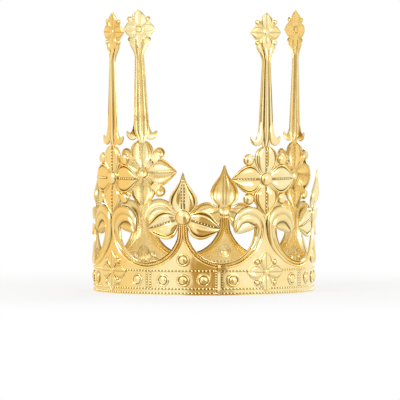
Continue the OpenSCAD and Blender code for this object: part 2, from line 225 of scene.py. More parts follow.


# Bosses and studs, as rings of radius, height and painted shade from the outside in
bossLook = {
    "collarAt": (1.0, 0.85, 0.45, 0.0),  # shares of the collar, with the rise and the painted shade there
    "collarRise": (-0.25, 0.4, 0.6, 0.3),
    "collarDark": (0.35, 0.1, 0, 0.9),
    "footDark": 0.25,
}
studLook = {
    "ringAt": (0.35, 0.15, -0.05, -0.4, -0.8, -1.15, -1.4),  # from the radius of the ring inwards
    "ringRise": (-0.3, 0.25, 0.75, 1.05, 1.1, 0.85, 0.35),
    "ringDark": (1, 0.8, 0, 0, 0, 0, 0.6),
    "shadedGroove": (0.1, 0.15, 1),  # beside the ball, with full painted shade
    "ballFrom": 0.25,
    "ballAt": (0.06, 0.26, 0.46, 0.66, 0.86),  # shares of a quarter turn
    "footDark": 0.5,
}
flatTop = 0.06  # share of a ball's radius that is level


def ballRings(r, h, foot, shares, footDark):
    rings = []
    for i, share in enumerate(shares):
        a = math.pi / 2 * share
        rings.append((r * math.cos(a), foot + (h - foot) * math.sin(a), 0 if i else footDark))
    return rings + [(flatTop * r, h, 0)]


def roundBoss(r, h, collar, steps=6):
    # a collar, a sunk ring with painted shade, and a ball
    profile = zip(bossLook["collarAt"], bossLook["collarRise"], bossLook["collarDark"])
    rings = [(r + collar * at, rise, dark) for at, rise, dark in profile]
    shares = [k / steps for k in range(1, steps)]
    return rings + ballRings(r, h, bossLook["collarRise"][-1], shares, bossLook["footDark"])


def ringStud(r, ball, h):
    # a round wire ring with a line of painted shade on both sides, and a ball inside it
    profile = zip(studLook["ringAt"], studLook["ringRise"], studLook["ringDark"])
    rings = [(r + at, rise, dark) for at, rise, dark in profile]
    beside, rise, dark = studLook["shadedGroove"]
    rings.append((ball + beside, rise, dark))
    return rings + ballRings(ball, h, studLook["ballFrom"], studLook["ballAt"], studLook["footDark"])


def addDome(sheet, place, rings, sides, base=0.0):
    turn = np.linspace(0, 2 * math.pi, sides, endpoint=False)
    r, h, dark = [np.array(x)[:, None] for x in zip(*rings)]
    u = place[0] + r * np.cos(turn)[None, :]
    v = place[1] + r * np.sin(turn)[None, :]
    addPatch(sheet, u, v, base + h + 0 * u, dark + 0 * u, ring=True)


# Scrolls: from the fleuron's boss down its stem, round the arch, up the spear and over the leaf
scroll = {
    "spearStem": 23.0,
    "fleuronStem": 8.4,
    "sill": 28.0,
    "archFrom": 347.0,  # degrees round the arch, by the fleuron
    "archTurn": 167.0,  # and on to the spear
    "archSteps": 7,
    "archRows": 15,
    "rimSteps": (0, 4, 5, 6, 6.6, 7),  # from the fleuron to the spear
    "rim": (5.4, 5.4, 6.6, 9.4, 10.6, 10.8),  # width at those steps
    "intoLeaf": (0.1, 0.3, 0.55, 0.8),  # how far the last rows of a rim are like the leaf
    "leafRadius": 15.6,
    "leafAside": 15.9,
    "leafUp": 0.24,  # middle of the leaf over that of the arch, as a share of its radius
    "leafFrom": 172.0,  # degrees round the leaf, by the spear
    "leafTurn": 197.0,  # and over to its tip
    "height": 2.4,
    "fullWidth": 6.0,  # a narrower stretch rises less
    "smooth": 3,  # rows made from each given one
    # shares of the width from the band to the opening, with the rise and the painted shade there
    "across": (0, 0.05, 0.13, 0.21, 0.29, 0.36, 0.4, 0.44, 0.5, 0.56, 0.63, 0.7, 0.77, 0.82, 0.86, 0.92, 1),
    "archRise": (0, 0.4, 0.85, 1, 0.85, 0.5, 0.08, 0.4, 0.7, 0.3, 0.3, 0.3, 0.75, 0.6, 0.12, 0.7, 0),
    "archDark": (0.4, 0, 0, 0, 0, 0, 0.8, 0, 0, 0.25, 0.45, 0.25, 0, 0, 0.85, 0, 0.3),
    "leafRise": (0.2, 0.65, 1.1, 1.3, 1.2, 0.95, 0.78, 0.72, 0.95, 1.2, 1.2, 0.95, 0.55, 0.1, 0.25, 0.5, 0),
    "leafDark": (1, 0.4, 0, 0, 0, 0.15, 0.3, 0.25, 0, 0, 0, 0, 0.2, 0.95, 0.3, 0, 0.4),
    "foldShare": 0.82,  # from here to the inner edge is the eye of a leaf
    "fold": ((11.0, 59.2), (12.4, 60.7), (14.6, 61.9), (17.6, 62.6), (20.6, 62.3), (23.4, 60.8),
             (26.2, 57.8), (29.2, 53.9)),  # where the eye begins
    "curl": ((11.5, 58.4), (12.6, 56.9), (14.4, 55.7), (17.5, 54.7), (21.0, 53.8), (24.5, 53.1),
             (27.2, 53.0), (29.0, 53.5)),  # inner edge of a leaf
}
archR = (pitch - (scroll["spearStem"] + scroll["fleuronStem"]) / 2) / 2
archU = scroll["spearStem"] / 2 + archR
archV = scroll["sill"] + archR
boss = {
    "v": 67.0,
    "r": 6.6,
    "h": 4.0,
    "turn": math.radians(38),  # where the scroll meets it
    "tuck": (1.5, 1.0),  # how far both edges of the scroll run in under it
}


def archPlace(step, r):
    a = math.radians(scroll["archFrom"] - scroll["archTurn"] * step / scroll["archSteps"])
    return archU + r * math.cos(a), archV + r * math.sin(a)


def archEdge(step):
    # band side of the rim of an arch
    u, v = archPlace(step, archR + np.interp(step, scroll["rimSteps"], scroll["rim"]))
    return min(pitch, u), v


def scrollEdges():
    # rows of the outer edge, the inner edge, the likeness to a leaf and the fold
    rows = [(pitch, boss["v"] - boss["r"] + boss["tuck"][0], pitch - boss["r"] * math.sin(boss["turn"]),
             boss["v"] - boss["r"] * math.cos(boss["turn"]) + boss["tuck"][1])]
    for step in np.linspace(0, scroll["archSteps"], scroll["archRows"]):
        rows.append((*archEdge(step), *archPlace(step, archR)))
    leafRows = len(scroll["curl"])
    for share, inner in zip(np.linspace(0, 1, leafRows), scroll["curl"]):
        a = math.radians(scroll["leafFrom"] - scroll["leafTurn"] * share)
        rows.append((scroll["leafAside"] + scroll["leafRadius"] * math.cos(a),
                     archV + scroll["leafRadius"] * (scroll["leafUp"] + math.sin(a)), *inner))
    rows = np.array(rows)
    folds = rows[:, :2] + (rows[:, 2:] - rows[:, :2]) * scroll["foldShare"]
    folds[-leafRows:] = scroll["fold"]
    plainRows = len(rows) - leafRows - len(scroll["intoLeaf"])
    likeLeaf = [0.0] * plainRows + [*scroll["intoLeaf"]] + [1.0] * leafRows
    return smoothRows(np.column_stack([rows, likeLeaf, folds]), scroll["smooth"])


def scrollAt(edges, share):
    # places from the outer edge to the fold, and on to the inner edge
    near = np.minimum(share / scroll["foldShare"], 1)[:, None]
    far = np.maximum((share - scroll["foldShare"]) / (1 - scroll["foldShare"]), 0)[:, None]
    outer, inner, fold = [edges[:, None, i:i + 2] for i in (0, 2, 5)]
    place = outer * (1 - near) + fold * (near - far) + inner * far
    return place[..., 0], place[..., 1]


def addScroll(sheet, side):
    edges = scrollEdges()
    u, v = scrollAt(edges, np.array(scroll["across"]))
    wide = np.hypot(edges[:, 0] - edges[:, 2], edges[:, 1] - edges[:, 3])
    narrow = np.minimum(1, wide / scroll["fullWidth"])[:, None]
    leaf = np.clip(edges[:, 4], 0, 1)[:, None]
    w, dark = [np.array(scroll["arch" + key]) * (1 - leaf) + np.array(scroll["leaf" + key]) * leaf
               for key in ("Rise", "Dark")]
    addPatch(sheet, side * u, v, w * scroll["height"] * narrow, dark)


# Quatrefoil: the small flower of the finials and of the band under the spears
quatrefoil = {
    "wide": 13.0,
    "belly": 0.56,
    "point": 1.1,
    "acrossAt": (0, 0.16, 0.48, 0.78, 0.88, 1),  # shares of a petal's half width
    "acrossRise": (0.5, 0.3, 1, 0.15, 0.7, 0),
    "ends": (0.02, 0.999),  # shares of the length between which a petal rises
    "knob": 9.0,  # place of the small knobs between the petals
    "knobR": 1.7,
    "knobHigh": 1.3,
    "knobCollar": 0.4,
    "knobSteps": 4,
    "knobSides": 12,
    "knobSpread": 2.5,  # radius of its hollow behind
    "eyeR": 2.4,
    "eyeHigh": 1.6,
    "eyeCollar": 0.6,
    "eyeSteps": 5,
    "eyeSides": 16,
    "eyeSpread": 3.8,
    "eyeRise": 1.3,  # of its hollow, times that of a petal
}
corners = [(p, q) for p in (-1, 1) for q in (-1, 1)]


def flowerPetals(centre, longs, width, belly, point):
    # right, upper, left and lower petal
    return [petalOf(centre, 90 * i, long, width, belly, point) for i, long in enumerate(longs)]


def smallPetals(centre, longs):
    return flowerPetals(centre, longs, quatrefoil["wide"], quatrefoil["belly"], quatrefoil["point"])


def petalRise(u, v, petal, rise):
    # height of a small petal over any places
    du = u - petal["centre"][0]
    dv = v - petal["centre"][1]
    s = (du * math.cos(petal["turn"]) + dv * math.sin(petal["turn"])) / petal["length"]
    x = np.abs(dv * math.cos(petal["turn"]) - du * math.sin(petal["turn"]))
    first, last = quatrefoil["ends"]
    held = np.clip(s, first, last)
    c = x / petalHalf(petal, held)
    high = ease(c, quatrefoil["acrossAt"], quatrefoil["acrossRise"]) * petalSwell(petal, held) * rise
    return np.where((s > first) & (s < 1) & (c < 1), high, 0)


def ballRise(u, v, centre, spread, rise):
    away = np.hypot(u - centre[0], v - centre[1])
    return rise * np.sqrt(np.maximum(0, 1 - (away / spread) ** 2))


def quatrefoilRise(u, v, centre, longs, rise):
    high = 0 * u
    for petal in smallPetals(centre, longs):
        high = np.maximum(high, petalRise(u, v, petal, rise))
    for p, q in corners:
        knob = (centre[0] + quatrefoil["knob"] * p, centre[1] + quatrefoil["knob"] * q)
        high = np.maximum(high, ballRise(u, v, knob, quatrefoil["knobSpread"], rise))
    return np.maximum(high, ballRise(u, v, centre, quatrefoil["eyeSpread"], quatrefoil["eyeRise"] * rise))


def addQuatrefoil(sheet, centre, longs, base):
    small = newSheet()
    for petal in smallPetals(centre, longs):
        addPetal(small, petal, finialLook)
    knob, eye = [roundBoss(*[quatrefoil[part + key] for key in ("R", "High", "Collar", "Steps")])
                 for part in ("knob", "eye")]
    for p, q in corners:
        place = (quatrefoil["knob"] * p, centre[1] + quatrefoil["knob"] * q)
        addDome(small, place, knob, quatrefoil["knobSides"])
    addDome(small, centre, eye, quatrefoil["eyeSides"])
    start = sheet["count"]
    sheet["points"] += [part + np.array((0, 0, base)) for part in small["points"]]
    sheet["faces"] += [[k + start for k in face] for face in small["faces"]]
    sheet["paintedShade"] += small["paintedShade"]
    sheet["inside"] += small["inside"]
    sheet["count"] += small["count"]


# Band under the scrolls, with its pressed studs
band = {
    "levels": (0, 0.6, 1.1, 1.6, 2.1, 2.6, 3.6, 4.4, 4.9, 5.4, 5.9, 6.4, 7.2, 8, 8.8, 9.6, 10.4, 11.2, 12,
               12.8, 13.6, 14.4, 15.2, 16, 16.8, 17.6, 18.4, 19.2, 19.9, 20.4, 20.9, 21.4),
    "steps": 92,
    "above": 28,  # rows between the upper milled row and the arches
    "fineTop": 37.0,  # the rows are closer up to here
    "fineShare": 0.75,  # and this share of them is below
    "tuck": 0.25,  # how far the band runs in under the rims
    "tracks": (1.6, 5.4, 20.9),  # heights of the milled rows
    "trackHalf": 1.0,
    # the track and divider darkness below is painted shade along the milled rows
    "trackShade": 0.7,
    "trackEdge": 1.9,  # the higher, the sharper the sides of a track
    "dividers": (30.0, 33.5),  # from the middle of a fleuron
    "dividerV": (6.2, 20.2),
    "dividerHalf": 0.9,
    "dividerDark": 0.9,
    "studV": 12.9,
    "studPitch": 18.0,
    "spearStud": 31.0,
    "spandrelV": 30.5,
    "ring": 5.4,
    "ball": 3.6,
    "rise": 2.0,
    "studBase": 0.1,
    "studSides": 22,
    "hollowAt": (0, 1.8, 3.5, 3.9, 4.6, 5.1, 5.6),  # from the middle of a stud
    "hollowRise": (1.9, 1.5, 0.3, 0.2, 0.8, 0.5, 0),
    "hollowLoss": 0.1,  # keeps the band just under the studs that lie on it
    "bloomV": 19.5,
    "bloomLongs": (18.4, 17.4, 18.4, 16.4),
    "bloomHollow": 1.5,
    "bloomBase": 0.75,
}
bandStuds = [(pitch + i * band["studPitch"], band["studV"]) for i in (-1, 0, 1)]
bandStuds += [(side * band["spearStud"], band["studV"]) for side in (-1, 1)]
bandStuds += [(pitch, band["spandrelV"])]
steep = {"reach": 0.4, "gain": 0.7, "from": 0.25, "most": 0.8}  # how a slope turns into painted shade and dark reflection


def bandRise(u, v):
    # what is pressed up from the band, which shows as hollows on its back
    high = quatrefoilRise(u, v, (0.0, band["bloomV"]), band["bloomLongs"], band["bloomHollow"])
    for centre in bandStuds + [(centre[0] - 2 * pitch, centre[1]) for centre in bandStuds]:
        away = np.hypot(u - centre[0], v - centre[1])
        high = np.maximum(high, ease(away, band["hollowAt"], band["hollowRise"]))
    return np.maximum(high - band["hollowLoss"], 0)


# painted shade that falls off from the middle of a line
def trackShade(away, half, most):
    return np.clip(band["trackEdge"] * (1 - away / half), 0, most)


def bandTrackShade(u, v):
    # painted shade lines that the milled rows stand in
    dark = 0 * v
    for level in band["tracks"]:
        dark = np.maximum(dark, trackShade(np.abs(v - level), band["trackHalf"], band["trackShade"]))
    low, high = band["dividerV"]
    for aside in band["dividers"]:
        away = np.abs(np.abs(np.abs(u) - pitch) - aside)
        line = trackShade(away, band["dividerHalf"], band["dividerDark"])
        dark = np.maximum(dark, np.where((v > low) & (v < high), line, 0))
    return dark


def slopeShade(rise, u, v):
    # painted shade and dark reflection where the card is pressed steeply
    here = rise(u, v)
    reach = steep["reach"]
    slope = np.hypot(rise(u + reach, v) - here, rise(u, v + reach) - here) / reach
    return np.clip(steep["gain"] * slope - steep["from"], 0, steep["most"])


def addBand(sheet, side):
    u, v = [], []
    levels = np.array(band["levels"])
    shares = np.linspace(0, 1, band["above"] + 1)[1:]
    for step in np.linspace(0, scroll["archSteps"], band["steps"]):
        edge = archEdge(step)
        foot = pitch * (1 - step / scroll["archSteps"])
        high = edge[1] + band["tuck"]
        room = high - levels[-1]
        fine = min(band["fineShare"], (band["fineTop"] - levels[-1]) / room)
        more = np.interp(shares, (0, band["fineShare"], 1), (0, fine, 1))
        column = np.concatenate([levels, levels[-1] + room * more])
        u.append(foot + (edge[0] - foot) * column / high)
        v.append(column)
    u = side * np.array(u)
    v = np.array(v)
    addPatch(sheet, u, v, bandRise(u, v), np.maximum(bandTrackShade(u, v), slopeShade(bandRise, u, v)))


# Stem of a spear, between the scrolls, and the webs from there to the flower
stem = {
    "rows": ((0, 58, 80), (59.5, 71, 8)),  # from, to and how many
    "v": (0, 57.5, 63, 66, 68.5, 71),
    "half": (0.15, 1.5, 1.6, 3.2, 4.6, 5.0),
    "columns": 9,
    "sunk": 0.02,
    # the darkness of the stem and webs is painted shade
    "dark": 0.05,
    "webRows": (68.7, 82, 12),
    "webColumns": 5,
    "webUnder": 0.7,  # how far a web runs in under the petal
    "webLeast": 0.2,
    "webV": (67.5, 71.4, 76, 82),
    "webOut": (4.2, 6.4, 9.4, 10.2),
    "webBase": 0.3,
    "webRise": 0.5,
    "webDark": 0.15,
}


def addSpearStem(sheet):
    v = np.concatenate([np.linspace(*span) for span in stem["rows"]])[:, None]
    u = np.interp(v, stem["v"], stem["half"]) * np.linspace(-1, 1, stem["columns"])
    addPatch(sheet, u, v + 0 * u, bandRise(u, v + 0 * u) - stem["sunk"], stem["dark"] + 0 * u)
    petal = bigFlower()[3]
    v = np.linspace(*stem["webRows"])[:, None]
    inner = petalHalf(petal, (spear["flowerV"] - v) / petal["length"]) - stem["webUnder"]
    outer = np.maximum(inner + stem["webLeast"], np.interp(v, stem["webV"], stem["webOut"]))
    c = np.linspace(0, 1, stem["webColumns"])
    u = inner * (1 - c) + outer * c
    w = stem["webBase"] + stem["webRise"] * np.sin(math.pi * c) + 0 * u
    for side in (-1, 1):
        addPatch(sheet, side * u, v + 0 * u, w, stem["webDark"] + 0 * u)


# Spear: a flower of four petals, a ribbed shaft with flukes and a finial
spear = {
    "flowerV": 99.9,
    "flowerLongs": (32.6, 29.0, 32.6, 31.4),
    "flowerWide": 24.8,
    "flowerBelly": 0.5,
    "flowerPoint": 1.0,
    "topHalf": ((0, 0.6), (0.16, 4.4), (0.3, 8.0), (0.42, 10.2), (0.55, 11.3), (0.68, 11.2), (0.8, 10.0),
                (0.88, 8.2), (0.94, 5.8), (1.0, 1.6)),  # outline of the upper petal, which is rounder
    "beadPlace": 16.9,
    "beadR": 4.5,
    "beadHigh": 3.4,
    "beadCollar": 0.7,
    "beadSides": 20,
    "bossR": 5.4,
    "bossHigh": 4.0,
    "bossCollar": 1.2,
    "bossSides": 24,
    "web": 12.6,  # place of the webs between the petals
    "webHalf": (5.0, 5.0),
    "webGrid": 7,
    "webRise": 0.05,  # and its painted shade
    "shaftRows": ((126, 142, 14), (142, 200, 12), (200, 217.5, 12)),  # from, to and how many
    "shaftV": (126.0, 128.4, 130.8, 133.4, 136.2, 140.0, 202.0, 207.0, 213.0, 217.5),
    "shaftHalf": (2.6, 3.6, 4.8, 6.2, 7.3, 7.8, 4.2, 5.9, 9.8, 9.4),
    "shaftRise": (0.0, 0.1, 0.35, 0.7, 0.95, 1.0, 1.0, 0.8, 0.4, 0.2),
    # shares from the middle of the shaft to its edge, with the rise and the painted shade there
    "shaftAcross": (0, 0.09, 0.18, 0.26, 0.3, 0.36, 0.42, 0.5, 0.62, 0.74, 0.83, 0.88, 0.93, 1.0),
    "ribRise": (1.0, 0.95, 0.76, 0.42, 0.02, 0.0, 0.1, 0.44, 0.5, 0.44, 0.2, 0.1, 0.34, 0.0),
    "ribDark": (0, 0, 0, 0.1, 1, 1, 0.7, 0, 0, 0, 0.1, 0.6, 0, 0.3),
    "ribHigh": 2.2,
    # middle line of a fluke with its half width: it leaves the side of the shaft and turns out and up
    "fluke": ((5.0, 150.0, 0.9), (5.2, 144.0, 2.0), (5.6, 138.8, 2.9), (6.6, 134.8, 3.6), (8.8, 132.2, 3.7),
              (11.7, 132.4, 2.9), (14.0, 134.6, 1.7), (15.0, 136.8, 0.6)),
    "flukeRise": (0.5, 1.0, 1.4, 1.7, 1.7, 1.5, 1.0, 0.5),
    "flukeBase": 0.35,
    "flukeDark": 0.5,  # painted shade along its edges
    "flukeEdge": 6,  # the higher, the narrower those painted shade edges
    "flukeColumns": 11,
    "flukeSmooth": 4,
    "finialV": 226.4,
    "finialLongs": (15.4, 17.2, 15.4, 16.8),
    "finialHollow": 0.9,
    "finialBase": 0.25,
    "plate": (15.9, 17.6),  # half width and half height of the lozenge behind the finial
    "plateGrid": 33,
}


def bigFlower():
    centre = (0.0, spear["flowerV"])
    petals = flowerPetals(centre, spear["flowerLongs"], spear["flowerWide"], spear["flowerBelly"],
                          spear["flowerPoint"])
    petals[1]["outline"] = spear["topHalf"]
    return petals


def addShaft(sheet):
    v = np.unique(np.concatenate([np.linspace(*span) for span in spear["shaftRows"]]))[:, None]
    rise = np.interp(v, spear["shaftV"], spear["shaftRise"]) * spear["ribHigh"]
    u = np.interp(v, spear["shaftV"], spear["shaftHalf"]) * bothSides(spear["shaftAcross"], -1)
    addPatch(sheet, u, v + 0 * u, rise * bothSides(spear["ribRise"]), bothSides(spear["ribDark"]) + 0 * u)


def addFluke(sheet, side):
    spine = smoothRows(np.column_stack([spear["fluke"], spear["flukeRise"]]), spear["flukeSmooth"])
    along = np.gradient(spine[:, :2], axis=0)
    along = along / np.linalg.norm(along, axis=1)[:, None]
    c = np.sin(np.linspace(-math.pi / 2, math.pi / 2, spear["flukeColumns"]))
    u = spine[:, None, 0] - along[:, None, 1] * spine[:, None, 2] * c[None, :]
    v = spine[:, None, 1] + along[:, None, 0] * spine[:, None, 2] * c[None, :]
    w = np.sqrt(np.maximum(0, 1 - c ** 2))[None, :] * spine[:, None, 3] + spear["flukeBase"]
    dark = spear["flukeDark"] * np.abs(c[None, :]) ** spear["flukeEdge"]
    addPatch(sheet, side * u, v, w, dark + 0 * u)


def webEvenly(u, v):
    return spear["webRise"] + 0 * u


def finialRise(u, v):
    return quatrefoilRise(u, v, (0.0, spear["finialV"]), spear["finialLongs"], spear["finialHollow"])


def finialShade(u, v):
    # painted shade where the finial plate is pressed steeply
    return slopeShade(finialRise, u, v)


def addLozenge(sheet, centre, half, rise, dark, count):
    # card with its corners to the sides, above and below
    p, q = np.meshgrid(np.linspace(-0.5, 0.5, count), np.linspace(-0.5, 0.5, count))
    u = centre[0] + half[0] * (p - q)
    v = centre[1] + half[1] * (p + q)
    addPatch(sheet, u, v, rise(u, v), dark(u, v))


def addSpear(sheet):
    centre = (0.0, spear["flowerV"])
    for petal in bigFlower():
        addPetal(sheet, petal, petalLook)
    bead = roundBoss(spear["beadR"], spear["beadHigh"], spear["beadCollar"])
    for p, q in corners:
        web = (spear["web"] * p, centre[1] + spear["web"] * q)
        addLozenge(sheet, web, spear["webHalf"], webEvenly, webEvenly, spear["webGrid"])
        addDome(sheet, (spear["beadPlace"] * p, centre[1] + spear["beadPlace"] * q), bead,
                spear["beadSides"])
    middle = roundBoss(spear["bossR"], spear["bossHigh"], spear["bossCollar"])
    addDome(sheet, centre, middle, spear["bossSides"])
    addShaft(sheet)
    for side in (-1, 1):
        addFluke(sheet, side)
    top = (0.0, spear["finialV"])
    addLozenge(sheet, top, spear["plate"], finialRise, finialShade, spear["plateGrid"])
    addQuatrefoil(sheet, top, spear["finialLongs"], spear["finialBase"])


# Fleuron: an upright petal and two drooping ones round a boss
fleuron = {
    "crestLong": 38.8,
    "crestWide": 25.4,
    "crestFrom": 0.1,
    "crestHalf": ((0, 3.5), (0.08, 6.2), (0.15, 9.4), (0.25, 12.1), (0.36, 12.7), (0.47, 11.7), (0.58, 9.3),
                  (0.69, 6.2), (0.8, 3.3), (0.91, 1.7), (1.0, 0.5)),  # half width along the crest
    "wingLong": 33.5,
    "wingWide": 23.4,
    "wingBelly": 0.5,
    "wingPoint": 0.82,
    "wingRoot": 0.95,
    "wingFrom": 0.15,
    "wingAbove": 0.94,  # shares of the half width on both sides of its midrib
    "wingBelow": 1.22,
    "droop": 16.9,
    "bossIn": 0.3,
    "bossCollar": 1.3,
    "bossSides": 28,
}


def fleuronPetals():
    centre = (pitch, boss["v"])
    crest = petalOf(centre, 90, fleuron["crestLong"], fleuron["crestWide"], start=fleuron["crestFrom"])
    crest["outline"] = fleuron["crestHalf"]
    wings = []
    for turn in (-fleuron["droop"], 180 + fleuron["droop"]):
        wings.append(petalOf(centre, turn, fleuron["wingLong"], fleuron["wingWide"], fleuron["wingBelly"],
                             fleuron["wingPoint"], fleuron["wingRoot"], fleuron["wingFrom"]))
    wings[0].update(left=fleuron["wingAbove"], right=fleuron["wingBelow"])
    wings[1].update(left=fleuron["wingBelow"], right=fleuron["wingAbove"])
    return [crest, *wings]


def addFleuron(sheet):
    for petal, look in zip(fleuronPetals(), (crestLook, wingLook, wingLook)):
        addPetal(sheet, petal, look)
    middle = roundBoss(boss["r"] - fleuron["bossIn"], boss["h"], fleuron["bossCollar"])
    addDome(sheet, (pitch, boss["v"]), middle, fleuron["bossSides"])


quarter = newSheet()
spearFlat = newSheet()
bandFlat = newSheet()
for side in (-1, 1):
    addScroll(quarter, side)
    addBand(bandFlat, side)
addSpearStem(quarter)
addSpear(spearFlat)
addFleuron(quarter)
addQuatrefoil(quarter, (0.0, band["bloomV"]), band["bloomLongs"], band["bloomBase"])
stud = ringStud(band["ring"], band["ball"], band["rise"])
for place in bandStuds:
    addDome(quarter, place, stud, band["studSides"], band["studBase"])
print("crown: quarter laid out,", quarter["count"] + spearFlat["count"] + bandFlat["count"], "points")


# Lap of the strip beside the front fleuron, and the tongue that is tucked through a slit above it
lap = {
    "seam": 32.5,
    "long": 7.0,
    "ramp": 3.0,
    "margin": 3.2,
    "topRows": (22.0, 22.6),  # over the levels of the band
    "line": 0.1,  # half width of the painted shadow line beside the margin
    "lineFoot": 0.9,
    "lineDark": 0.75,
    "lip": 0.3,
    "rise": (-0.1, 0.2, 0.4, 0.5, 0.5, 0.55, 0.6, 0.5),  # from the ramp to the seam
    # the seam and bar darkness is painted shadow along their edges
    "seamDark": 0.8,
    "barRows": ((0.2, 20.4, 9), (21.2, 26.4, 9)),  # from, to and how many
    "barAcross": (0, 0.06, 0.14, 0.5, 0.86, 0.94, 1.0),
    "barDark": (1, 0.8, 0, 0, 0, 0.8, 1.0),
    "barBase": 0.6,
    "barTilt": 1.3,
    "liftV": (0, 20.6, 23.8, 40),  # the bar lifts over the rim of the arch
    "lift": (0, 0, 2.0, 2.0),
    "tongueV": 24.2,
    "tongueHalf": 1.6,
    "tongue": (0.6, 6.4, 9),  # from the seam, to its tip and how many rows
    "tongueRound": 2.0,
    "tongueLeast": 0.02,  # keeps its tip from closing to a point
    "tongueColumns": 5,
    "tongueRise": 2.5,
    "tongueDark": 0.9,  # painted shade along its edges
    "tongueEdge": 3,  # the higher, the narrower those painted shade edges
    "sharp": 40.0,
}


def addLap(sheet):
    seam = lap["seam"]
    edge = seam - lap["margin"]
    start = seam - lap["long"]
    u = np.array((start - lap["ramp"], start - lap["ramp"] / 2, start, edge - lap["lineFoot"],
                  edge - lap["line"], edge + lap["line"], seam - lap["lip"], seam))[:, None]
    v = np.array(band["levels"] + lap["topRows"])[None, :]
    u, v = u + 0 * v, v + 0 * u
    dark = np.where(u < edge, bandTrackShade(0 * u, v), 0)
    dark = np.where(np.abs(u - edge) < 2 * lap["line"], lap["lineDark"], dark)
    dark[-1] = lap["seamDark"]
    addPatch(sheet, u, v, np.array(lap["rise"])[:, None] + 0 * u, dark)
    v = np.concatenate([np.linspace(*span) for span in lap["barRows"]])[:, None]
    c = np.array(lap["barAcross"])
    u = edge + lap["line"] + (lap["margin"] - lap["line"]) * c + 0 * v
    w = lap["barBase"] + ease(v, lap["liftV"], lap["lift"]) + lap["barTilt"] * c
    addPatch(sheet, u, v + 0 * u, w, np.array(lap["barDark"]) + 0 * u)
    first, last, rows = lap["tongue"]
    x = np.linspace(first, last, rows)[:, None]
    past = np.maximum(0, (x - last) / lap["tongueRound"] + 1)
    c = np.linspace(-1, 1, lap["tongueColumns"])
    v = lap["tongueV"] + lap["tongueHalf"] * np.sqrt(np.maximum(lap["tongueLeast"], 1 - past ** 2)) * c
    dark = lap["tongueDark"] * np.abs(c) ** lap["tongueEdge"] + 0 * v
    addPatch(sheet, seam + x + 0 * v, v, lap["tongueRise"] + 0 * v, dark)


lapFlat = newSheet()
addLap(lapFlat)


# Milled grains: rows of tiny beads along the band, the midribs and the scrolls
grain = {
    "bandStep": 3.1,
    "bandSize": 1.0,
    "bandSamples": 200,
    "lapSamples": 9,
    "dividerRows": (6.6, 19.8, 30),  # from, to and how many samples
    "dividerStep": 2.2,
    "dividerSize": 0.78,
    "lapAside": 0.7,  # from the margin of the lap
    "ribRows": (0.3, 0.86, 40),  # shares of a petal's length, and how many samples
    "ribStep": 2.6,
    "ribSize": 0.78,
    "crestAside": 1.3,
    "crestShare": 0.17,  # most share of its half width
    "crestSize": 0.52,
    "scrollShare": 0.63,
    "scrollStep": 1.6,
    "scrollSize": 0.5,
    "scrollEnd": 0.2,  # they end where the rim is this much like a leaf
    "segments": 7,
    "rings": 4,
}
grainPlaces = []
lapGrains = []


def alongPath(places, u, v, w, step, size):
    length = np.concatenate([[0], np.cumsum(np.hypot(np.diff(u), np.diff(v)))])
    count = max(2, int(length[-1] / step))
    at = (np.arange(count) + 0.5) * length[-1] / count
    for place in zip(*[np.interp(at, length, x) for x in (u, v, w)]):
        places.append((*place, size))


def bandRow(places, u, v, w):
    alongPath(places, u, v, w, grain["bandStep"], grain["bandSize"])


def dividerColumn(places, u, base):
    v = np.linspace(*grain["dividerRows"])
    alongPath(places, u + 0 * v, v, base + 0 * v, grain["dividerStep"], grain["dividerSize"])


for level in band["tracks"]:
    u = np.linspace(-pitch, pitch, grain["bandSamples"])
    bandRow(grainPlaces, u, level + 0 * u, bandRise(u, level + 0 * u) + hoop["card"])
    u = np.linspace(lap["seam"] - lap["long"], lap["seam"] - lap["margin"], grain["lapSamples"])
    bandRow(lapGrains, u, level + 0 * u, 2 * hoop["card"] + 0 * u)
dividerColumn(lapGrains, lap["seam"] - lap["margin"] - grain["lapAside"], 2 * hoop["card"])
for aside in band["dividers"]:
    for side in (-1, 1):
        dividerColumn(grainPlaces, pitch + side * aside, hoop["card"])
crest, *wings = fleuronPetals()
s = np.linspace(*grain["ribRows"])
for petal in bigFlower() + wings:
    u, v = petalPlace(petal, s, 0 * s)
    w = petalLook["ribRise"][0] * petalSwell(petal, s) * petalLook["height"] + hoop["card"]
    alongPath(grainPlaces, u, v, w, grain["ribStep"], grain["ribSize"])
for side in (-1, 1):
    aside = np.minimum(grain["crestAside"], grain["crestShare"] * petalHalf(crest, s))
    u, v = petalPlace(crest, s, side * aside)
    w = crestLook["ribRise"][2] * petalSwell(crest, s) * crestLook["height"] + hoop["card"]
    alongPath(grainPlaces, u, v, w, grain["ribStep"], grain["crestSize"])
edges = scrollEdges()
u, v = [x[edges[:, 4] < grain["scrollEnd"], 0] for x in scrollAt(edges, np.array([grain["scrollShare"]]))]
trackRise = np.interp(grain["scrollShare"], scroll["across"], scroll["archRise"]) * scroll["height"]
w = trackRise + hoop["card"] + 0 * u
for side in (-1, 1):
    alongPath(grainPlaces, side * u, v, w, grain["scrollStep"], grain["scrollSize"])
print("crown:", len(grainPlaces), "milled grains in a quarter")


def link(tree, source, target):
    tree.links.new(source, target)


def nodeMath(tree, operation, one, other=None):
    node = tree.nodes.new("ShaderNodeMath")
    node.operation = operation
    for socket, value in zip(node.inputs, (one, other)):
        if value is None:
            continue
        if isinstance(value, (int, float)):
            socket.default_value = value
        else:
            link(tree, value, socket)
    return node.outputs[0]


def mapRange(tree, value, given=(0.0, 1.0), wanted=(0.0, 1.0), smooth=False):
    node = tree.nodes.new("ShaderNodeMapRange")
    node.interpolation_type = "SMOOTHSTEP" if smooth else "LINEAR"
    for label, number in zip(("From Min", "From Max", "To Min", "To Max"), given + wanted):
        node.inputs[label].default_value = number
    link(tree, value, node.inputs["Value"])
    return node.outputs[0]


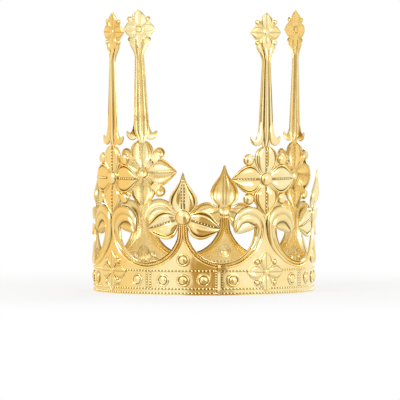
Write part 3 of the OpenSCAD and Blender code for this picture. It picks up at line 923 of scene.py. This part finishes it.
def mixColour(tree, factor, one, other):
    node = tree.nodes.new("ShaderNodeMix")
    node.data_type = "RGBA"
    link(tree, factor, node.inputs["Factor"])
    for label, value in ((6, one), (7, other)):  # the colour sockets A and B
        if isinstance(value, tuple):
            node.inputs[label].default_value = value
        else:
            link(tree, value, node.inputs[label])
    return node.outputs[2]


def newTree(name, kind, inputs, outputs):
    # a group with named sockets, each a label and a kind of socket
    tree = bpy.data.node_groups.new(name, kind)
    for way, sockets in (("INPUT", inputs), ("OUTPUT", outputs)):
        for label, socket in sockets:
            tree.interface.new_socket(label, in_out=way, socket_type="NodeSocket" + socket)
    return tree, tree.nodes.new("NodeGroupInput").outputs, tree.nodes.new("NodeGroupOutput").inputs


shapeSocket = ("Geometry", "Geometry")
bendSockets = (shapeSocket, ("Radius", "Float"), ("Lean From", "Float"))


def bendTree():
    # bends a flat strip round the hoop and leans each unit out or in above a height
    tree, given, result = newTree("bendToHoop", "GeometryNodeTree", bendSockets, [shapeSocket])
    place = tree.nodes.new("ShaderNodeSeparateXYZ")
    link(tree, tree.nodes.new("GeometryNodeInputPosition").outputs[0], place.inputs[0])
    u, v, w = place.outputs
    unit = nodeMath(tree, "DIVIDE", u, pitch * metre)
    unit = nodeMath(tree, "FLOORED_MODULO", nodeMath(tree, "ROUND", unit), 2.0 * hoop["spears"])
    pick = tree.nodes.new("GeometryNodeIndexSwitch")
    pick.data_type = "FLOAT"
    while len(pick.index_switch_items) < len(hoop["leans"]):
        pick.index_switch_items.new()
    for i, lean in enumerate(hoop["leans"]):
        pick.inputs[i + 1].default_value = math.tan(math.radians(lean))
    link(tree, unit, pick.inputs[0])
    above = nodeMath(tree, "MAXIMUM", nodeMath(tree, "SUBTRACT", v, given["Lean From"]), 0.0)
    reach = nodeMath(tree, "ADD", nodeMath(tree, "ADD", given["Radius"], w),
                     nodeMath(tree, "MULTIPLY", above, pick.outputs[0]))
    turn = nodeMath(tree, "DIVIDE", u, given["Radius"])
    bent = tree.nodes.new("ShaderNodeCombineXYZ")
    link(tree, nodeMath(tree, "MULTIPLY", reach, nodeMath(tree, "SINE", turn)), bent.inputs[0])
    back = nodeMath(tree, "MULTIPLY", reach, nodeMath(tree, "COSINE", turn))
    link(tree, nodeMath(tree, "MULTIPLY", back, -1.0), bent.inputs[1])
    link(tree, v, bent.inputs[2])
    move = tree.nodes.new("GeometryNodeSetPosition")
    link(tree, given["Geometry"], move.inputs["Geometry"])
    link(tree, bent.outputs[0], move.inputs["Position"])
    link(tree, move.outputs[0], result[0])
    return tree


def hoopTree(name, bend, grains):
    # repeats a flat quarter round the hoop; grains become small balls on its points
    sockets = (*bendSockets, ("Copies", "Int"), ("Step", "Float"), ("Start", "Float"),
               ("Material", "Material"))
    tree, given, result = newTree(name, "GeometryNodeTree", sockets, [shapeSocket])
    line = tree.nodes.new("GeometryNodeMeshLine")
    for label, socket in (("Step", "Offset"), ("Start", "Start Location")):
        along = tree.nodes.new("ShaderNodeCombineXYZ")
        link(tree, given[label], along.inputs[0])
        link(tree, along.outputs[0], line.inputs[socket])
    link(tree, given["Copies"], line.inputs["Count"])
    repeat = tree.nodes.new("GeometryNodeInstanceOnPoints")
    link(tree, line.outputs[0], repeat.inputs["Points"])
    link(tree, given["Geometry"], repeat.inputs["Instance"])
    whole = tree.nodes.new("GeometryNodeRealizeInstances")
    link(tree, repeat.outputs[0], whole.inputs[0])
    curve = tree.nodes.new("GeometryNodeGroup")
    curve.node_tree = bend
    link(tree, whole.outputs[0], curve.inputs["Geometry"])
    for label in ("Radius", "Lean From"):
        link(tree, given[label], curve.inputs[label])
    shape = curve.outputs[0]
    if grains:
        ball = tree.nodes.new("GeometryNodeMeshUVSphere")
        ball.inputs["Segments"].default_value = grain["segments"]
        ball.inputs["Rings"].default_value = grain["rings"]
        ball.inputs["Radius"].default_value = 1.0  # the size of each grain scales it
        size = tree.nodes.new("GeometryNodeInputNamedAttribute")
        size.data_type = "FLOAT"
        size.inputs["Name"].default_value = "grainSize"
        strew = tree.nodes.new("GeometryNodeInstanceOnPoints")
        link(tree, shape, strew.inputs["Points"])
        link(tree, ball.outputs[0], strew.inputs["Instance"])
        link(tree, size.outputs[0], strew.inputs["Scale"])
        solid = tree.nodes.new("GeometryNodeRealizeInstances")
        link(tree, strew.outputs[0], solid.inputs[0])
        smooth = tree.nodes.new("GeometryNodeSetShadeSmooth")
        link(tree, solid.outputs[0], smooth.inputs[0])
        shape = smooth.outputs[0]
    dress = tree.nodes.new("GeometryNodeSetMaterial")
    link(tree, shape, dress.inputs["Geometry"])
    link(tree, given["Material"], dress.inputs["Material"])
    link(tree, dress.outputs[0], result[0])
    return tree


def grownPiece(name, mesh, tree, values, sharp=None):
    # grows the piece with its tree and keeps the result as a plain mesh
    draft = bpy.data.objects.new(name + "Flat", mesh)
    bpy.context.collection.objects.link(draft)
    grow = draft.modifiers.new("grow", "NODES")
    grow.node_group = tree
    for item in tree.interface.items_tree:
        if item.in_out == "INPUT" and item.name in values:
            grow[item.identifier] = values[item.name]
    view = bpy.context.evaluated_depsgraph_get()
    made = bpy.data.meshes.new_from_object(draft.evaluated_get(view))
    made.name = name
    bpy.data.objects.remove(draft)
    piece = bpy.data.objects.new(name, made)
    bpy.context.collection.objects.link(piece)
    if sharp:
        made.set_sharp_from_angle(angle=math.radians(sharp))
    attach(piece, "root")
    made.calc_loop_triangles()
    print("crown:", name, "has", len(made.loop_triangles), "triangles")
    return piece


# Foil: pale gold with patches of deeper gold, partly painted reflection, and brown painted shade and dark
# reflection in the pressed grooves
foil = {
    "pale": (1.0, 0.86, 0.48, 1),
    # the deeper gold of the patches stands partly for painted reflection
    "deepToneAndSheen": (0.99, 0.77, 0.35, 1),
    # brown painted shade and dark reflection for the grooves and steep slopes
    "shadedGroove": (0.17, 0.12, 0.03, 1),
    # inside of the hoop: a slightly deeper gold, painted for the shade there
    "withinShade": (1.0, 0.84, 0.455, 1),
    "withinDull": 0.16,  # added to the roughness inside the hoop
    "patchScale": 24.0,
    "patchDetail": 3.0,
    "grainPatch": 48.0,  # patch scale of the grains
    "toneSpan": (0.42, 0.62),  # noise where the deeper gold begins and is full
    "crinkleScale": 220.0,
    "crinkleDetail": 4.0,
    "crinkleTwist": 0.6,
    "dentScale": 70.0,
    "dentDetail": 1.0,
    "roughSpan": (0.05, 0.2),
    "bumps": (("Dents", 0.8, 0.0008), ("Height", 0.08, 0.0005)),  # strength, and depth in metres
}


def foilGroup():
    # uneven tone, partly painted reflection patches, dents and fine crinkles of foil on card
    scales = [(label, "Float") for label in ("Patch Scale", "Crinkle Scale", "Dent Scale")]
    values = [(label, "Float") for label in ("Dents", "Tone", "Roughness", "Height")]
    tree, given, result = newTree("foilSurface", "ShaderNodeTree", scales, values)
    place = tree.nodes.new("ShaderNodeTexCoord").outputs["Object"]
    noises = []
    for label in ("patch", "crinkle", "dent"):
        noise = tree.nodes.new("ShaderNodeTexNoise")
        noise.inputs["Detail"].default_value = foil[label + "Detail"]
        link(tree, place, noise.inputs["Vector"])
        link(tree, given[label.title() + " Scale"], noise.inputs["Scale"])
        noises.append(noise)
    patch, crinkle, dent = noises
    crinkle.inputs["Distortion"].default_value = foil["crinkleTwist"]
    link(tree, mapRange(tree, patch.outputs[0], given=foil["toneSpan"], smooth=True), result["Tone"])
    link(tree, mapRange(tree, crinkle.outputs[0], wanted=foil["roughSpan"]), result["Roughness"])
    link(tree, crinkle.outputs[0], result["Height"])
    link(tree, dent.outputs[0], result["Dents"])
    return tree


def gildedFoil(name, surface, patchScale, paintsShade):
    material = bpy.data.materials.new(name)
    material.use_nodes = True
    tree = material.node_tree
    shader = tree.nodes["Principled BSDF"]
    shader.inputs["Metallic"].default_value = 1.0
    face = tree.nodes.new("ShaderNodeGroup")
    face.node_tree = surface
    face.inputs["Patch Scale"].default_value = patchScale
    face.inputs["Crinkle Scale"].default_value = foil["crinkleScale"]
    face.inputs["Dent Scale"].default_value = foil["dentScale"]
    colour = mixColour(tree, face.outputs["Tone"], foil["pale"], foil["deepToneAndSheen"])
    rough = face.outputs["Roughness"]
    if paintsShade:
        # the point marks paint brown shade into the grooves and the deeper gold of the inside's shade
        marks = {}
        for mark, tint in (("inside", foil["withinShade"]), ("paintedShade", foil["shadedGroove"])):
            node = tree.nodes.new("ShaderNodeAttribute")
            node.attribute_name = mark
            marks[mark] = node.outputs["Fac"]
            colour = mixColour(tree, marks[mark], colour, tint)
        dull = nodeMath(tree, "MULTIPLY", marks["inside"], foil["withinDull"])
        rough = nodeMath(tree, "ADD", rough, dull)
    link(tree, colour, shader.inputs["Base Color"])
    link(tree, rough, shader.inputs["Roughness"])
    normal = None
    for label, strength, depth in foil["bumps"]:
        bump = tree.nodes.new("ShaderNodeBump")
        bump.inputs["Strength"].default_value = strength
        bump.inputs["Distance"].default_value = depth
        link(tree, face.outputs[label], bump.inputs["Height"])
        if normal:
            link(tree, normal, bump.inputs["Normal"])
        normal = bump.outputs[0]
    link(tree, normal, shader.inputs["Normal"])
    return material


surface = foilGroup()
sheetFoil = gildedFoil("giltFoil", surface, foil["patchScale"], True)
grainFoil = gildedFoil("giltGrain", surface, foil["grainPatch"], False)
bend = bendTree()
common = {"Radius": hoop["radius"] * metre, "Lean From": hoop["leanFrom"] * metre}
rounds = dict(common, Copies=hoop["spears"], Step=2 * pitch * metre, Start=pitch * metre)
once = dict(common, Copies=1, Step=0.0, Start=0.0)

sheetTree = hoopTree("pressedSheet", bend, False)
gilded = dict(rounds, Material=sheetFoil)
for name, flat in (("giltSheet", quarter), ("spearSheet", spearFlat), ("pressedBand", bandFlat)):
    piece = grownPiece(name, flatMesh(name + "Draft", flat), sheetTree, gilded, hoop["sharp"])
    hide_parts("crown")
grownPiece("lapFlap", flatMesh("lapFlat", lapFlat), sheetTree, dict(once, Material=sheetFoil), lap["sharp"])


def grainMesh(name, places):
    mesh = bpy.data.meshes.new(name)
    mesh.from_pydata([(p[0] * metre, p[1] * metre, p[2] * metre) for p in places], [], [])
    sizes = mesh.attributes.new("grainSize", "FLOAT", "POINT")
    sizes.data.foreach_set("value", np.array([p[3] * metre for p in places], np.float32))
    return mesh


grainTree = hoopTree("milledGrains", bend, True)
grownPiece("milledGrains", grainMesh("grainFlat", grainPlaces), grainTree, dict(rounds, Material=grainFoil))
grownPiece("lapGrains", grainMesh("lapGrainFlat", lapGrains), grainTree, dict(once, Material=grainFoil))
print("crown: pieces made")


# Studio: pale floor, soft lamps, white surroundings
studio = {
    "floor": (0.9, 0.9, 0.9, 1),
    "floorHalf": 4.0,
    "floorRough": 0.9,
    "floorWhite": 0.7,  # share of plain white under the crown
    "floorFade": (0.1, 0.45),  # distances over which the floor turns plain white
    "ambient": 0.5,
    "lamps": (("key", (-0.9, -1.5, 1.3), 0.9, 14.0), ("fill", (1.4, -1.2, 0.7), 0.9, 6.0),
              ("rim", (0.3, 1.5, 1.2), 0.8, 8.0)),  # place, size and power
    "lampAim": (0, 0, 0.1),
    "room": (0.5, 0.32, 0.1, 1),  # dim room through the front of the light tent, seen in the foil only
    "roomTurn": 15.0,
    "roomSpan": (17.5, 12.5),  # degrees from its middle where it begins and is full
    "warmWall": (0.97, 0.79, 0.5, 1),  # left wall of the tent, seen in the foil only
    "warmTurn": -101.0,
    "warmSpan": (85.0, 35.0),
    "azimuth": 11.0,
    "elevation": 2.2,
    "distance": 8.0,
    "lens": 825.0,
    "sensor": 36.0,
    "clipEnd": 60.0,
    "aside": -0.0035,
    "height": 0.0788,
}


def pointAt(thing, target):
    way = np.array(target) - np.array(thing.location)
    thing.rotation_euler = (math.atan2(math.hypot(way[0], way[1]), -way[2]), 0, math.atan2(-way[0], way[1]))


def tentGroup():
    # masks of the open front of the light tent and of its warm side
    tree, given, result = newTree("lightTent", "ShaderNodeTree", [("Direction", "Vector")],
                                  [("Open", "Float"), ("Warm", "Float")])
    unit = tree.nodes.new("ShaderNodeVectorMath")
    unit.operation = "NORMALIZE"
    link(tree, given["Direction"], unit.inputs[0])
    for label, side in (("Open", "room"), ("Warm", "warm")):
        turn = math.radians(studio[side + "Turn"])
        facing = tree.nodes.new("ShaderNodeVectorMath")
        facing.operation = "DOT_PRODUCT"
        facing.inputs[1].default_value = (math.sin(turn), -math.cos(turn), 0)
        link(tree, unit.outputs[0], facing.inputs[0])
        span = tuple(math.cos(math.radians(angle)) for angle in studio[side + "Span"])
        link(tree, mapRange(tree, facing.outputs["Value"], given=span, smooth=True), result[label])
    return tree


def surroundings(tree, direction, path):
    # white all round; in a reflection one side is warm and the dim room shows through the front
    walls = tree.nodes.new("ShaderNodeGroup")
    walls.node_tree = tent
    link(tree, direction, walls.inputs[0])
    colour = (1, 1, 1, 1)
    for label, tint in (("Warm", studio["warmWall"]), ("Open", studio["room"])):
        share = nodeMath(tree, "MULTIPLY", walls.outputs[label], path.outputs["Is Glossy Ray"])
        colour = mixColour(tree, share, colour, tint)
    return colour


def seenRays(tree, path):
    # what the camera sees, straight or by way of a mirror or glass
    seen = nodeMath(tree, "MAXIMUM", path.outputs["Is Camera Ray"], path.outputs["Is Glossy Ray"])
    return nodeMath(tree, "MAXIMUM", seen, path.outputs["Is Transmission Ray"])


tent = tentGroup()
floorMesh = bpy.data.meshes.new("floor")
half = studio["floorHalf"]
floorCorners = [(-half, -half, 0), (half, -half, 0), (half, half, 0), (-half, half, 0)]
floorMesh.from_pydata(floorCorners, [], [(0, 1, 2, 3)])
floorPiece = bpy.data.objects.new("floor", floorMesh)
bpy.context.collection.objects.link(floorPiece)
floorLook = bpy.data.materials.new("paleFloor")
floorLook.use_nodes = True
tree = floorLook.node_tree
shader = tree.nodes["Principled BSDF"]
shader.inputs["Base Color"].default_value = studio["floor"]
shader.inputs["Roughness"].default_value = studio["floorRough"]
place = tree.nodes.new("ShaderNodeTexCoord").outputs["Object"]
away = tree.nodes.new("ShaderNodeVectorMath")  # the floor turns plain white away from the crown
away.operation = "LENGTH"
link(tree, place, away.inputs[0])
whiter = mapRange(tree, away.outputs["Value"], studio["floorFade"], (studio["floorWhite"], 1.0), smooth=True)
path = tree.nodes.new("ShaderNodeLightPath")
white = tree.nodes.new("ShaderNodeEmission")
link(tree, surroundings(tree, place, path), white.inputs["Color"])
blend = tree.nodes.new("ShaderNodeMixShader")
link(tree, nodeMath(tree, "MULTIPLY", seenRays(tree, path), whiter), blend.inputs[0])
link(tree, shader.outputs[0], blend.inputs[1])
link(tree, white.outputs[0], blend.inputs[2])
link(tree, blend.outputs[0], tree.nodes["Material Output"].inputs["Surface"])
floorMesh.materials.append(floorLook)

for name, place, size, power in studio["lamps"]:
    lamp = bpy.data.lights.new(name, "AREA")
    lamp.size = size
    lamp.energy = power
    holder = bpy.data.objects.new(name, lamp)
    holder.location = place
    pointAt(holder, studio["lampAim"])
    bpy.context.collection.objects.link(holder)

world = bpy.data.worlds.new("studio")
world.use_nodes = True
bpy.context.scene.world = world
tree = world.node_tree
path = tree.nodes.new("ShaderNodeLightPath")
level = mapRange(tree, seenRays(tree, path), wanted=(studio["ambient"], 1.0))
around = tree.nodes.new("ShaderNodeTexCoord").outputs["Generated"]
link(tree, surroundings(tree, around, path), tree.nodes["Background"].inputs["Color"])
link(tree, level, tree.nodes["Background"].inputs["Strength"])

lens = bpy.data.cameras.new("camera")
lens.lens = studio["lens"]
lens.sensor_width = studio["sensor"]
lens.clip_end = studio["clipEnd"]
camera = bpy.data.objects.new("camera", lens)
turn = math.radians(studio["azimuth"])
rise = math.radians(studio["elevation"])
target = np.array((studio["aside"] * math.cos(turn), studio["aside"] * math.sin(turn), studio["height"]))
camera.location = target + studio["distance"] * np.array(
    (math.sin(turn) * math.cos(rise), -math.cos(turn) * math.cos(rise), math.sin(rise)))
pointAt(camera, target)
bpy.context.collection.objects.link(camera)
bpy.context.scene.camera = camera
bpy.context.scene.view_settings.view_transform = "Standard"

print("crown: studio set")
